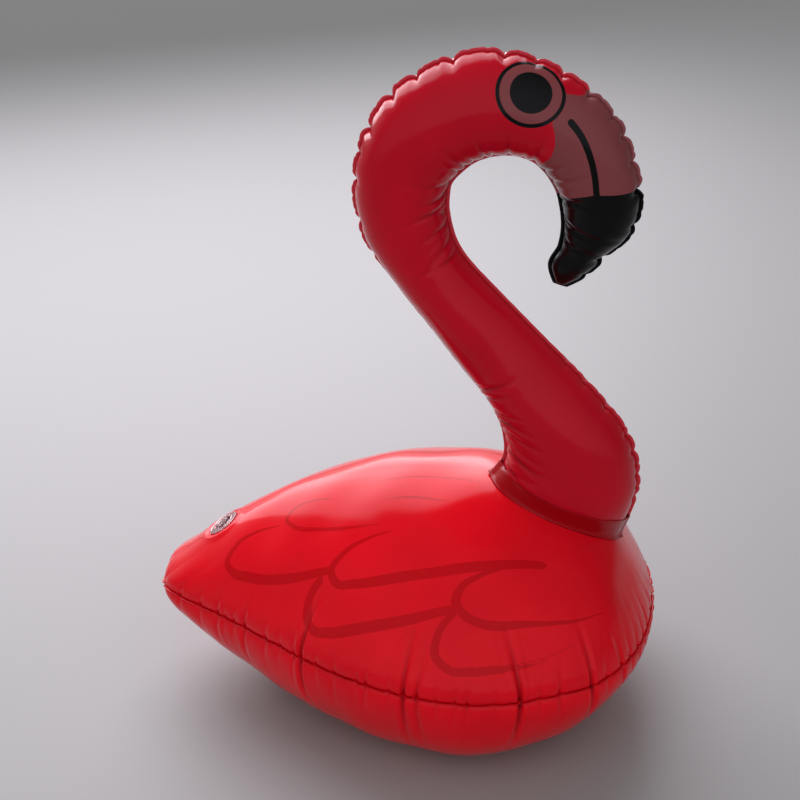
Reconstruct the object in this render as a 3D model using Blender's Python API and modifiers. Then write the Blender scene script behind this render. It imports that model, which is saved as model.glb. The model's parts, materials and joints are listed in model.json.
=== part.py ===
"""Inflatable flamingo float: a pillow-shaped body and a hooked neck and head, each welded from two panels
of vinyl film, joined by a collar band, with a push-in air valve over the tail.

Metres, +Z up, +X towards the breast, +Y to the bird's left. The origin is on the floor under the middle.
"""

import math

import bpy
import numpy as np
from mathutils import Matrix

# Film and welds
FILM = 0.0003  # gauge of the vinyl
GAP = 0.0003  # clearance kept between neighbouring pieces
LIP = 0.0045  # width of the welded lip outside a seam
LIP_THICKNESS = 2 * FILM

# Body: the seam is a flat outline, and each panel bulges from it
LENGTH = 0.645
SEAM_HEIGHT = 0.1375
UPPER_FULLNESS = 1.6  # superellipse exponent of the cross-section above the seam
LOWER_FULLNESS = 2.5
CROWN_X = 0.40  # where the rings of the panel mesh close, from the tail
SEAM_POINTS = 60
PANEL_RINGS = 8

# Along the body from the tail: (distance, half width at the weld, rise above the seam, drop below it)
BODY_STATIONS = np.array((
    (LIP, 0.038, 0.000, 0.000),
    (0.030, 0.063, 0.036, 0.038),
    (0.075, 0.090, 0.075, 0.074),
    (0.130, 0.125, 0.111, 0.103),
    (0.190, 0.166, 0.141, 0.125),
    (0.250, 0.204, 0.162, 0.140),
    (0.310, 0.232, 0.176, 0.149),
    (0.370, 0.248, 0.180, 0.154),
    (0.420, 0.253, 0.178, 0.155),
    (0.470, 0.246, 0.171, 0.147),
    (0.510, 0.230, 0.159, 0.134),
    (0.550, 0.209, 0.140, 0.116),
    (0.585, 0.181, 0.112, 0.085),
    (0.610, 0.143, 0.070, 0.055),
    (0.630, 0.091, 0.032, 0.028),
    (LENGTH - LIP, 0.000, 0.000, 0.000),
))

# Neck and head: each row is one section, its back and front seam points (distance from the tail, height
# above the body seam) and half the thickness of the tube there. The first stands on the body.
NECK_SECTIONS = np.array((
    (0.444, 0.205, 0.612, 0.150, 0.068),
    (0.443, 0.238, 0.616, 0.190, 0.068),
    (0.430, 0.270, 0.600, 0.247, 0.066),
    (0.418, 0.288, 0.555, 0.306, 0.061),
    (0.402, 0.307, 0.491, 0.373, 0.052),
    (0.357, 0.366, 0.432, 0.432, 0.047),
    (0.309, 0.429, 0.386, 0.487, 0.045),
    (0.268, 0.492, 0.373, 0.530, 0.048),
    (0.255, 0.552, 0.373, 0.553, 0.050),
    (0.263, 0.611, 0.376, 0.566, 0.052),
    (0.294, 0.669, 0.390, 0.582, 0.054),
    (0.343, 0.708, 0.404, 0.593, 0.055),
    (0.400, 0.730, 0.421, 0.600, 0.055),
    (0.456, 0.728, 0.442, 0.603, 0.055),
    (0.513, 0.705, 0.460, 0.600, 0.052),
    (0.562, 0.663, 0.476, 0.591, 0.048),
    (0.588, 0.609, 0.491, 0.573, 0.044),
    (0.599, 0.553, 0.500, 0.552, 0.040),
    (0.591, 0.515, 0.504, 0.523, 0.034),
    (0.564, 0.485, 0.501, 0.495, 0.026),
    (0.535, 0.453, 0.491, 0.466, 0.015),
    (0.515, 0.441, 0.498, 0.444, 0.006),
))
NECK_SIDES = 10  # facets round one panel
ROWS_PER_SECTION = 2

# Collar band round the foot of the neck, on the body's top
COLLAR_REAR_X = 0.432
COLLAR_FRONT_X = 0.592
COLLAR_HALF_WIDTH = 0.059
COLLAR_HEIGHT = 0.030  # at the front
COLLAR_REAR_HEIGHT = 0.023
COLLAR_OUT = 0.0014  # how far the band's outer face stands outside the neck
COLLAR_POINTS = 48
AIR_PORT_RADIUS = 0.009

# Valve: distances along its axis count outwards from the outer face of its flange
VALVE_X = 0.078
VALVE_CHORD = 0.034  # the flange lies on this chord of the panel, a little sunk
FLANGE_RADIUS = 0.0215
FLANGE_THICKNESS = 0.0012
FLANGE_HOLE_RADIUS = 0.0125
STEM_RADIUS = 0.0062
STEM_BORE_RADIUS = 0.0046
STEM_LIP_RADIUS = 0.0085
STEM_LIP_THICKNESS = 0.0014
STEM_TOP = 0.0006
STEM_LENGTH = 0.019
MEMBRANE_THICKNESS = 0.0006
MEMBRANE_DEPTH = 0.0085  # how far down the stem the funnel reaches
PLUG_HEAD_THICKNESS = 0.0018
PLUG_SPIGOT_LENGTH = 0.008
FLAP_THICKNESS = 0.0006
TETHER_WIDTH = 0.003
TETHER_THICKNESS = 0.0009
ROUND_STEPS = 32

VINYL_RED = (0.62, 0.012, 0.03)
COLLAR_RED = (0.40, 0.005, 0.015)
CLEAR_VINYL = (0.80, 0.62, 0.64)


def smooth(knots, values, at):
    """A smooth curve through the values: cubic spans with the knots' mean slopes."""
    slopes = np.gradient(values, knots, axis=0)
    left = np.clip(np.searchsorted(knots, at, side="right") - 1, 0, len(knots) - 2)
    span = knots[left + 1] - knots[left]
    t = (at - knots[left]) / span
    if values.ndim == 2:
        span, t = span[:, None], t[:, None]
    from_left = (2 * t**3 - 3 * t**2 + 1) * values[left] + (t**3 - 2 * t**2 + t) * span * slopes[left]
    from_right = (3 * t**2 - 2 * t**3) * values[left + 1] + (t**3 - t**2) * span * slopes[left + 1]
    return from_left + from_right


def body_profile(column, x):
    """Half width, rise or drop at x. The squares are joined smoothly, so the breast closes round."""
    knots = BODY_STATIONS[:, 0]
    squares = smooth(knots, BODY_STATIONS[:, column] ** 2, np.clip(x, knots[0], knots[-1]))
    return np.sqrt(np.maximum(squares, 0))


def body_height(x, y, upper=True):
    """Distance from the seam plane to the upper or lower panel."""
    reach = body_profile(2 if upper else 3, x)
    fullness = UPPER_FULLNESS if upper else LOWER_FULLNESS
    across = np.abs(y) / np.maximum(body_profile(1, x), 1e-9)
    return reach * np.maximum(1 - np.minimum(across, 1) ** fullness, 0) ** (1 / fullness)


def evenly_along(points, count):
    """This many points at equal steps along an open path, both ends kept."""
    steps = np.linalg.norm(np.diff(points, axis=0), axis=1)
    travelled = np.concatenate(([0], np.cumsum(steps)))
    wanted = np.linspace(0, travelled[-1], count)
    return np.stack([np.interp(wanted, travelled, points[:, k]) for k in range(points.shape[1])], axis=1)


def body_outline():
    """The weld line seen from above, anticlockwise from the breast."""
    tail, tip = BODY_STATIONS[0, 0], BODY_STATIONS[-1, 0]
    x = tip - (tip - tail) * (1 - np.cos(np.linspace(0, math.pi, 400))) / 2
    side = np.stack([x, body_profile(1, x)], axis=1)
    half = np.vstack([side, [(tail, 0)]])
    left = evenly_along(half, SEAM_POINTS // 2 + 1)
    right = left[1:-1][::-1] * (1, -1)
    return np.vstack([left, right])


def outward(outline, distance, closed=True):
    """The path moved to its right-hand side by a distance."""
    if closed:
        along = np.roll(outline, -1, axis=0) - np.roll(outline, 1, axis=0)
    else:
        along = np.gradient(outline, axis=0)
    normal = np.stack([along[:, 1], -along[:, 0]], axis=1)
    return outline + distance * normal / np.linalg.norm(normal, axis=1)[:, None]


def in_place(x, y, height):
    """From distance along the body, side and height above the seam, to the object's own frame."""
    return np.stack([x - LENGTH / 2, y + 0 * x, height + SEAM_HEIGHT + 0 * x], axis=-1)


def new_object(name, points, faces, color, roughness, collection):
    mesh = bpy.data.meshes.new(name)
    mesh.from_pydata([tuple(map(float, point)) for point in points], [], faces)
    obj = bpy.data.objects.new(name, mesh)
    collection.objects.link(obj)
    paint(obj, color, roughness)
    return obj


def paint(obj, color, roughness, see_through=0.0):
    material = bpy.data.materials.new(obj.name)
    material.use_nodes = True
    shader = material.node_tree.nodes["Principled BSDF"]
    shader.inputs["Base Color"].default_value = (*color, 1)
    shader.inputs["Roughness"].default_value = roughness
    shader.inputs["Transmission Weight"].default_value = see_through
    obj.data.materials.append(material)


def thicken(obj, thickness, offset=-1.0):
    """Film grown inwards from an open surface whose normals face out."""
    solid = obj.modifiers.new("Film", "SOLIDIFY")
    solid.thickness = thickness
    solid.offset = offset
    solid.use_even_offset = False


def grid_faces(rows, columns, closed=False, flip=False):
    """Quads over a grid of points stored row by row."""
    faces = []
    for i in range(rows - 1):
        for j in range(columns if closed else columns - 1):
            after = (j + 1) % columns
            face = (i * columns + j, i * columns + after, (i + 1) * columns + after, (i + 1) * columns + j)
            faces.append(face[::-1] if flip else face)
    return faces


def body_panel(name, upper, color, collection):
    """A dome of rings that shrink from the weld line to the crown."""
    outline = body_outline()
    crown = np.array((CROWN_X, 0))
    shrink = np.cos(np.linspace(0, math.pi / 2, PANEL_RINGS + 1))[:-1]
    rings = np.concatenate([crown + s * (outline - crown) for s in shrink] + [[crown]])
    bulge = body_height(rings[:, 0], rings[:, 1], upper) + GAP / 2
    height = bulge if upper else np.maximum(-bulge, -SEAM_HEIGHT)
    points = in_place(rings[:, 0], rings[:, 1], height)
    faces = grid_faces(PANEL_RINGS, SEAM_POINTS, closed=True, flip=not upper)
    last = PANEL_RINGS * SEAM_POINTS
    for j in range(SEAM_POINTS):
        ring = (PANEL_RINGS - 1) * SEAM_POINTS
        face = (ring + j, ring + (j + 1) % SEAM_POINTS, last)
        faces.append(face if upper else face[::-1])
    panel = new_object(name, points, faces, color, 0.22, collection)
    thicken(panel, FILM)
    panel.data.shade_smooth()
    return panel


def strip(name, inner, outer, color, collection, closed):
    """A flat weld lip between two paths of the same count, centred on their plane."""
    points = np.concatenate([inner, outer])
    lip = new_object(name, points, grid_faces(2, len(inner), closed, flip=True), color, 0.3, collection)
    thicken(lip, LIP_THICKNESS, offset=0)
    return lip


def body_seam_lip(color, collection):
    outline = body_outline()
    paths = outward(outline, GAP), outward(outline, LIP)
    inner, outer = (in_place(path[:, 0], path[:, 1], 0) for path in paths)
    return strip("body_seam_lip", inner, outer, color, collection, closed=True)


def neck_sections():
    """Back point, front point and half thickness of each section, with the weld lip taken off the ends."""
    count = len(NECK_SECTIONS)
    stations = np.linspace(0, count - 1, ROWS_PER_SECTION * (count - 1) + 1)
    sections = smooth(np.arange(count), NECK_SECTIONS, stations)
    back, front = sections[:, 0:2], sections[:, 2:4]
    across = back - front
    inset = LIP * across / np.linalg.norm(across, axis=1)[:, None]
    return back - inset, front + inset, sections[:, 4]


def foot_ring(turn):
    """The neck's oval foot, standing just clear of the body's top; turn runs from the front by the left."""
    middle = (COLLAR_REAR_X + COLLAR_FRONT_X) / 2
    x = middle + (COLLAR_FRONT_X - COLLAR_REAR_X) / 2 * np.cos(turn)
    y = COLLAR_HALF_WIDTH * np.sin(turn)
    return np.stack([x, y, body_height(x, y) + 4 * GAP], axis=-1)


def section_ring(rear, fore, thickness, turn):
    """The oval section of the neck between a back and a front seam point."""
    path = (rear + fore) / 2 + np.cos(turn)[:, None] * (fore - rear) / 2
    return np.stack([path[:, 0], thickness * np.sin(turn), path[:, 1]], axis=1)


def above_foot(turn, share, clear=0):
    """Points on the straight stretch of neck that rises from the foot: a share of the collar's height up, and
    this far clear of it."""
    forward = (1 + np.cos(turn)) / 2
    height = COLLAR_REAR_HEIGHT + (COLLAR_HEIGHT - COLLAR_REAR_HEIGHT) * forward
    height = (share * height + clear)[:, None]
    back, front, half_thickness = neck_sections()
    foot, first = foot_ring(turn), section_ring(back[0], front[0], half_thickness[0], turn)
    return foot + height * (first - foot) / np.linalg.norm(first - foot, axis=1)[:, None]


def neck_panel(name, side, color, collection):
    """Half a tube, lofted from the foot on the body to the beak's tip. side is +1 for the bird's left."""
    back, front, half_thickness = neck_sections()
    turn = np.linspace(0, math.pi, NECK_SIDES + 1)
    rows = [foot_ring(turn)]
    for section in zip(back, front, half_thickness):
        rows.append(section_ring(*section, turn))
    points = np.concatenate(rows) * (1, side, 1) + (0, side * GAP / 2, 0)
    faces = grid_faces(len(rows), NECK_SIDES + 1, flip=side < 0)
    points = in_place(points[:, 0], points[:, 1], points[:, 2])
    last = (len(rows) - 1) * (NECK_SIDES + 1)
    tip = list(range(last, last + NECK_SIDES + 1))
    faces.append(tuple(tip if side > 0 else tip[::-1]))
    panel = new_object(name, points, faces, color, 0.22, collection)
    thicken(panel, FILM)
    panel.data.shade_smooth()
    return panel


def neck_seam_path():
    """The neck's weld line: up the back, over the head, round the beak and down the front."""
    back, front, _ = neck_sections()
    rear_foot, front_foot = above_foot(np.array((math.pi, 0.0)), 1, 3 * GAP)[:, [0, 2]]
    return np.vstack([rear_foot, back, front[::-1], front_foot])


def neck_seam_lip(color, collection):
    path = neck_seam_path()
    inner, outer = outward(path, -GAP, closed=False), outward(path, -LIP, closed=False)
    inner, outer = (in_place(line[:, 0], 0, line[:, 1]) for line in (inner, outer))
    return strip("neck_seam_lip", inner, outer, color, collection, closed=False)


def collar_band(color, collection):
    """The band of film that holds the neck's foot to the body: upright, on the curve of the body's top."""
    turn = np.linspace(0, 2 * math.pi, COLLAR_POINTS, endpoint=False)
    out = COLLAR_OUT * np.stack([np.cos(turn), np.sin(turn), 0 * turn], axis=1)
    points = np.concatenate([above_foot(turn, 0) + out, above_foot(turn, 1) + out])
    points = in_place(points[:, 0], points[:, 1], points[:, 2])
    faces = grid_faces(2, COLLAR_POINTS, closed=True)
    band = new_object("neck_collar", points, faces, color, 0.3, collection)
    thicken(band, 2 * FILM)
    band.data.shade_smooth()
    return band


def valve_frame(collection):
    """An empty in the middle of the valve flange's outer face, its Z along the valve's axis, outwards."""
    rear, fore = np.array((VALVE_X - VALVE_CHORD / 2, VALVE_X + VALVE_CHORD / 2))
    low, high = body_height(np.array((rear, fore)), np.zeros(2))
    lean = math.atan2(high - low, fore - rear)
    empty = bpy.data.objects.new("valve_axis", None)
    middle = in_place(np.array((VALVE_X,)), 0, np.array(((low + high) / 2,)))[0]
    empty.matrix_world = Matrix.Translation(middle) @ Matrix.Rotation(-lean, 4, "Y")
    collection.objects.link(empty)
    bpy.context.view_layer.update()
    return empty


def turned(name, profile, color, parent, collection, closed=True):
    """A profile of (radius, distance along the axis), outer side running down, turned about the axis."""
    mesh = bpy.data.meshes.new(name)
    edges = [(i, i + 1) for i in range(len(profile) - 1)]
    if closed:
        edges.append((len(profile) - 1, 0))
    mesh.from_pydata([(radius, 0, along) for radius, along in profile], edges, [])
    obj = bpy.data.objects.new(name, mesh)
    collection.objects.link(obj)
    obj.parent = parent
    screw = obj.modifiers.new("Turn", "SCREW")
    screw.steps = screw.render_steps = ROUND_STEPS
    screw.use_merge_vertices = True
    screw.merge_threshold = 0.00001
    screw.use_smooth_shade = False
    paint(obj, color, 0.2, see_through=0.6)
    return obj


def valve_flange(parent, collection):
    outer, hole, bottom = FLANGE_RADIUS, FLANGE_HOLE_RADIUS, -FLANGE_THICKNESS
    profile = [(hole, 0), (outer, 0), (outer, bottom), (hole, bottom)]
    return turned("valve_flange", profile, CLEAR_VINYL, parent, collection)


def valve_membrane(parent, collection):
    """The soft funnel from the flange to the stem, turned inwards while the stem is pushed in flush."""
    outer = FLANGE_HOLE_RADIUS - GAP - MEMBRANE_THICKNESS / 2
    inner = STEM_RADIUS + GAP + MEMBRANE_THICKNESS / 2
    depth = np.linspace(0.1, 1, 7)
    radius = inner + (outer - inner) * np.cos((depth - depth[0]) / (1 - depth[0]) * math.pi / 2) ** 0.7
    profile = [(float(r), float(-MEMBRANE_DEPTH * d)) for r, d in zip(radius, depth)]
    membrane = turned("valve_membrane", profile, CLEAR_VINYL, parent, collection, closed=False)
    thicken(membrane, MEMBRANE_THICKNESS, offset=0)
    return membrane


def valve_stem(parent, collection):
    """A tube with a lip at its mouth."""
    under_lip, end = STEM_TOP - STEM_LIP_THICKNESS, STEM_TOP - STEM_LENGTH
    profile = [
        (STEM_BORE_RADIUS, STEM_TOP),
        (STEM_LIP_RADIUS, STEM_TOP),
        (STEM_LIP_RADIUS, under_lip),
        (STEM_RADIUS, under_lip),
        (STEM_RADIUS, end),
        (STEM_BORE_RADIUS, end),
    ]
    return turned("valve_stem", profile, CLEAR_VINYL, parent, collection)


def valve_plug(parent, collection):
    """The stopper: a flat head with a finger tab, and a spigot in the stem's bore."""
    foot = STEM_TOP + GAP
    top = foot + PLUG_HEAD_THICKNESS
    spigot = STEM_BORE_RADIUS - GAP
    profile = [
        (0, top),
        (STEM_LIP_RADIUS, top),
        (STEM_LIP_RADIUS, foot),
        (spigot, foot),
        (spigot, foot - PLUG_SPIGOT_LENGTH),
        (0, foot - PLUG_SPIGOT_LENGTH),
    ]
    plug = turned("valve_plug", profile, CLEAR_VINYL, parent, collection, closed=False)
    tab_length = 0.006
    bpy.ops.mesh.primitive_cube_add(size=1)
    tab = bpy.context.object
    tab.name = "plug_tab_tool"
    tab.data.transform(Matrix.Diagonal((tab_length, 0.006, PLUG_HEAD_THICKNESS * 0.6, 1)))
    tab.parent = parent
    tab.location = (0, -STEM_LIP_RADIUS - 0.25 * tab_length, (foot + top) / 2)
    tab.rotation_euler = (0, 0, math.radians(90))
    as_tool(tab)
    cut(plug, tab, "UNION")
    return plug


def plug_tether(parent, collection):
    """A short bent strap between the stem's lip and the plug's head, on the side away from the tab."""
    near = STEM_LIP_RADIUS + GAP
    low, high = STEM_TOP - STEM_LIP_THICKNESS / 2, STEM_TOP + GAP + PLUG_HEAD_THICKNESS / 2
    middle = (low + high) / 2
    bend = high - middle
    path = [(near, high)]
    for step in range(9):
        angle = math.radians(90 - 22.5 * step)
        path.append((near + 0.0012 + bend * math.cos(angle), middle + bend * math.sin(angle)))
    path.append((near, low))
    points = [(edge * TETHER_WIDTH / 2, out, along) for out, along in path for edge in (-1, 1)]
    strap = new_object("plug_tether", points, grid_faces(len(path), 2), CLEAR_VINYL, 0.2, collection)
    strap.parent = parent
    thicken(strap, TETHER_THICKNESS, offset=0)
    return strap


def valve_check_flap(parent, collection):
    """The thin disc that air pressure shuts against the stem's inner end; it swings on one edge."""
    radius = STEM_RADIUS
    bpy.ops.mesh.primitive_cylinder_add(vertices=ROUND_STEPS, radius=radius, depth=FLAP_THICKNESS)
    flap = bpy.context.object
    flap.name = "valve_check_flap"
    to_collection(flap, collection)
    flap.data.transform(Matrix.Translation((-radius, 0, 0)))
    flap.parent = parent
    flap.location = (radius, 0, STEM_TOP - STEM_LENGTH - GAP - FLAP_THICKNESS / 2)
    paint(flap, CLEAR_VINYL, 0.2, see_through=0.6)
    return flap


def to_collection(obj, collection):
    for other in list(obj.users_collection):
        other.objects.unlink(obj)
    collection.objects.link(obj)


def as_tool(obj):
    """Hides a cutter or a joining shape, so that only its effect is part of the model."""
    to_collection(obj, bpy.data.collections["Tools"])
    obj.hide_render = True
    obj.display_type = "WIRE"


def cut(obj, tool, operation="DIFFERENCE"):
    boolean = obj.modifiers.new(tool.name, "BOOLEAN")
    boolean.operation = operation
    boolean.object = tool


def round_tool(name, radius, length, matrix):
    bpy.ops.mesh.primitive_cylinder_add(vertices=ROUND_STEPS, radius=radius, depth=length)
    tool = bpy.context.object
    tool.name = name
    tool.matrix_world = matrix
    as_tool(tool)
    return tool


def pierce_top_panel(panel, valve):
    """The valve's hole over the tail, and the port that lets air up into the neck."""
    cut(panel, round_tool("valve_hole_tool", FLANGE_RADIUS + GAP, 0.03, valve.matrix_world))
    middle = np.array(((COLLAR_REAR_X + COLLAR_FRONT_X) / 2,))
    port = Matrix.Translation(in_place(middle, 0, body_height(middle, 0))[0])
    cut(panel, round_tool("air_port_tool", AIR_PORT_RADIUS, 0.04, port))


def clear_scene():
    for obj in list(bpy.data.objects):
        bpy.data.objects.remove(obj, do_unlink=True)


def new_collection(name):
    collection = bpy.data.collections.new(name)
    bpy.context.scene.collection.children.link(collection)
    return collection


def build():
    clear_scene()
    parts = new_collection("Inflatable flamingo float")
    new_collection("Tools")
    valve = valve_frame(parts)
    top = body_panel("body_top_panel", True, VINYL_RED, parts)
    pierce_top_panel(top, valve)
    body_panel("body_bottom_panel", False, VINYL_RED, parts)
    body_seam_lip(VINYL_RED, parts)
    neck_panel("neck_left_panel", 1, VINYL_RED, parts)
    neck_panel("neck_right_panel", -1, VINYL_RED, parts)
    neck_seam_lip(VINYL_RED, parts)
    collar_band(COLLAR_RED, parts)
    valve_flange(valve, parts)
    valve_membrane(valve, parts)
    valve_stem(valve, parts)
    valve_check_flap(valve, parts)
    valve_plug(valve, parts)
    plug_tether(valve, parts)


build()
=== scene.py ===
import json
import math

import bmesh
import bpy
import numpy as np
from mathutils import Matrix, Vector


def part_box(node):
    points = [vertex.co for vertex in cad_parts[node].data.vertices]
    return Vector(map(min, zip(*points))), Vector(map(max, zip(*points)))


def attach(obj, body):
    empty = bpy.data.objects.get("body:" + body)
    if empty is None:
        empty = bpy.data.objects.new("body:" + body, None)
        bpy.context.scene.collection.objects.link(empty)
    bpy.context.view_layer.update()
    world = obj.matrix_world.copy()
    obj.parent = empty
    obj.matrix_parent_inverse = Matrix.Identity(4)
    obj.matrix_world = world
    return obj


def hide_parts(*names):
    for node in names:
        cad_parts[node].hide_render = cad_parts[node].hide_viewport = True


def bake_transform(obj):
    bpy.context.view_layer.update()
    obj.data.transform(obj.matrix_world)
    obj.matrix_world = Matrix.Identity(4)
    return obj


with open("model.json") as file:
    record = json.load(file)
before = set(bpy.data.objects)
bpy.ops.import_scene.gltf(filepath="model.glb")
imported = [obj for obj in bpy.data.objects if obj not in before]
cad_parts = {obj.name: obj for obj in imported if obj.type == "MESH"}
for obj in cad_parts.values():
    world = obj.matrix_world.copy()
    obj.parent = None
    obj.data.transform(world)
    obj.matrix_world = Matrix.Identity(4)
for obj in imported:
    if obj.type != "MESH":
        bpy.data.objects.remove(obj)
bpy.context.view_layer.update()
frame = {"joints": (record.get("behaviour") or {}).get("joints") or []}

# Places read from the frame, in metres
LIP_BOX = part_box("body_seam_lip")
TAIL_X, BREAST_X = LIP_BOX[0][0], LIP_BOX[1][0]
LENGTH = BREAST_X - TAIL_X
SEAM_Z = (LIP_BOX[0][2] + LIP_BOX[1][2]) / 2
FLANGE_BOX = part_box("valve_flange")
VALVE_MIDDLE = (np.array(FLANGE_BOX[0]) + np.array(FLANGE_BOX[1])) / 2
VALVE_AXIS = np.array(next(j["axis"] for j in frame["joints"] if j["name"] == "stem_push_in"))

# Welds
LIP = 0.0045  # how far the film's outline stands inside the outline of the welded edge
LIP_THICKNESS = 0.0007
BODY_LIP_WIDTH = 0.0036
NECK_LIP_WIDTH = 0.0042
# The welded lip's section: shares of its width out from the film, and of its thickness to either side
LIP_SECTION = ((-0.15, 0.5), (0.5, 0.5), (0.92, 0.42), (1.0, 0.0), (0.92, -0.42), (0.5, -0.5), (-0.15, -0.5))

# Body: distance from the tail, half width at the weld, rise above the seam, drop below it
BODY_STATIONS = np.array((
    (LIP, 0.038, 0.000, 0.000),
    (0.030, 0.063, 0.036, 0.038),
    (0.075, 0.090, 0.075, 0.074),
    (0.130, 0.125, 0.111, 0.103),
    (0.190, 0.166, 0.141, 0.125),
    (0.250, 0.204, 0.162, 0.140),
    (0.310, 0.232, 0.176, 0.149),
    (0.370, 0.248, 0.180, 0.154),
    (0.420, 0.253, 0.178, 0.155),
    (0.470, 0.246, 0.171, 0.147),
    (0.510, 0.230, 0.159, 0.134),
    (0.550, 0.209, 0.140, 0.116),
    (0.585, 0.181, 0.112, 0.085),
    (0.610, 0.143, 0.070, 0.055),
    (0.630, 0.091, 0.032, 0.028),
    (LENGTH - LIP, 0.000, 0.000, 0.000),
))
UPPER_FULLNESS = 1.6
LOWER_FULLNESS = 2.5
CROWN_X = 0.515  # where the rows of the body's grid close up, under the neck's foot
SEAM_POINTS = 740
# Its rows, from the lower crown (-90 degrees) by the seam (0) to the upper one: (angle, steps to the next angle)
ROW_SPANS = ((-90, 15), (-45, 37), (-10, 19), (0, 26), (10, 14), (20, 38), (40, 40), (72, 14), (90, 0))
RESTING_ROUNDING = 0.005  # how softly the bottom turns into the flat patch that it rests on

# Neck: each row is a section's back and front seam points (distance from the tail, height above the body
# seam) and half its thickness
NECK_SECTIONS = np.array((
    (0.444, 0.205, 0.612, 0.150, 0.068),
    (0.443, 0.238, 0.616, 0.190, 0.068),
    (0.430, 0.270, 0.600, 0.247, 0.066),
    (0.418, 0.288, 0.555, 0.306, 0.061),
    (0.402, 0.307, 0.491, 0.373, 0.052),
    (0.357, 0.366, 0.432, 0.432, 0.047),
    (0.309, 0.429, 0.386, 0.487, 0.045),
    (0.268, 0.492, 0.373, 0.530, 0.048),
    (0.255, 0.552, 0.373, 0.553, 0.050),
    (0.263, 0.611, 0.376, 0.566, 0.052),
    (0.294, 0.669, 0.390, 0.582, 0.054),
    (0.343, 0.708, 0.404, 0.593, 0.055),
    (0.400, 0.730, 0.421, 0.600, 0.055),
    (0.456, 0.728, 0.442, 0.603, 0.055),
    (0.513, 0.705, 0.460, 0.600, 0.052),
    (0.562, 0.663, 0.476, 0.591, 0.048),
    (0.588, 0.609, 0.491, 0.573, 0.044),
    (0.599, 0.553, 0.500, 0.552, 0.040),
    (0.591, 0.515, 0.504, 0.523, 0.034),
    (0.564, 0.485, 0.501, 0.495, 0.026),
    (0.535, 0.453, 0.491, 0.466, 0.015),
    (0.519, 0.443, 0.4965, 0.449, 0.006),
))
FOOT_REAR_X = 0.432
FOOT_FRONT_X = 0.592
FOOT_HALF_WIDTH = 0.059
FOOT_LIFT = 0.0006
NECK_ROWS = 680
NECK_COLUMNS = 70  # across one panel

# Collar: its height at the front and at the back, and its section, as shares of that height and distances out
# from the neck, up the outer face and down the inner one
COLLAR_HEIGHT = 0.030
COLLAR_REAR_HEIGHT = 0.023
COLLAR_CORNER = 0.0040  # how far it stands out at the neck's welds
COLLAR_SECTION = (
    (-0.03, 0.0042), (0.01, 0.0031), (0.08, 0.0019), (0.20, 0.0012), (0.40, 0.0010), (0.60, 0.0010),
    (0.80, 0.0010), (0.93, 0.0011), (0.985, 0.0011), (1.0, 0.0008), (0.985, 0.0005), (0.80, 0.0003),
    (0.50, 0.0003), (0.20, 0.0004), (0.08, 0.0010), (0.01, 0.0022), (-0.03, 0.0036),
)

# Long folds that cross the body's seam on each side: (x, depth, reach up, reach down)
LONG_FOLDS_RIGHT = (
    (-0.232, 0.0020, 0.050, 0.050),
    (-0.192, 0.0030, 0.060, 0.070),
    (-0.108, 0.0080, 0.110, 0.100),
    (-0.020, 0.0026, 0.050, 0.060),
    (0.028, 0.0062, 0.120, 0.110),
    (0.043, 0.0038, 0.085, 0.120),
    (0.105, 0.0022, 0.040, 0.060),
    (0.169, 0.0085, 0.115, 0.100),
    (0.215, 0.0024, 0.050, 0.050),
    (0.252, 0.0064, 0.095, 0.070),
    (0.287, 0.0038, 0.060, 0.050),
)
LONG_FOLDS_LEFT = (
    (-0.215, 0.0026, 0.060, 0.050),
    (-0.140, 0.0070, 0.105, 0.090),
    (-0.050, 0.0036, 0.070, 0.090),
    (0.018, 0.0078, 0.120, 0.110),
    (0.098, 0.0044, 0.090, 0.080),
    (0.176, 0.0080, 0.110, 0.100),
    (0.240, 0.0042, 0.080, 0.060),
    (0.285, 0.0030, 0.050, 0.050),
)

# Notches in the neck's seams, where the film pleats over a bulging curve: (x, z, depth). The back ones run from
# the nape over the head to the beak's tip, and the front ones up the throat above the collar.
BACK_NOTCHES = (
    (-0.040, 0.610, 0.0022),
    (-0.058, 0.652, 0.0036),
    (-0.064, 0.703, 0.0052),
    (-0.058, 0.737, 0.0030),
    (-0.045, 0.768, 0.0062),
    (-0.017, 0.807, 0.0066),
    (0.011, 0.830, 0.0046),
    (0.052, 0.851, 0.0064),
    (0.111, 0.862, 0.0068),
    (0.149, 0.857, 0.0030),
    (0.180, 0.847, 0.0046),
    (0.211, 0.823, 0.0058),
    (0.241, 0.797, 0.0034),
    (0.256, 0.774, 0.0044),
    (0.266, 0.743, 0.0030),
    (0.270, 0.708, 0.0058),
    (0.268, 0.664, 0.0028),
    (0.236, 0.618, 0.0050),
    (0.214, 0.597, 0.0022),
)
FRONT_NOTCHES = (
    (0.205, 0.487, 0.0014),
    (0.226, 0.462, 0.0022),
    (0.254, 0.427, 0.0032),
    (0.278, 0.387, 0.0018),
    (0.288, 0.362, 0.0030),
    (0.291, 0.330, 0.0018),
    (0.291, 0.298, 0.0024),
)
# Soft wrinkles, where the seams curve the other way: heights from and to, and strength
CROOK_WRINKLES = (0.615, 0.735, 0.70)
NAPE_WRINKLES = (0.330, 0.455, 1.00)
DARKEST_BODY_FOLD = 0.0046  # a fold this deep gets its painted shade in full
DARKEST_NECK_FOLD = 0.0018
FAR = 9.0  # stands for out of reach, in metres

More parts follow.
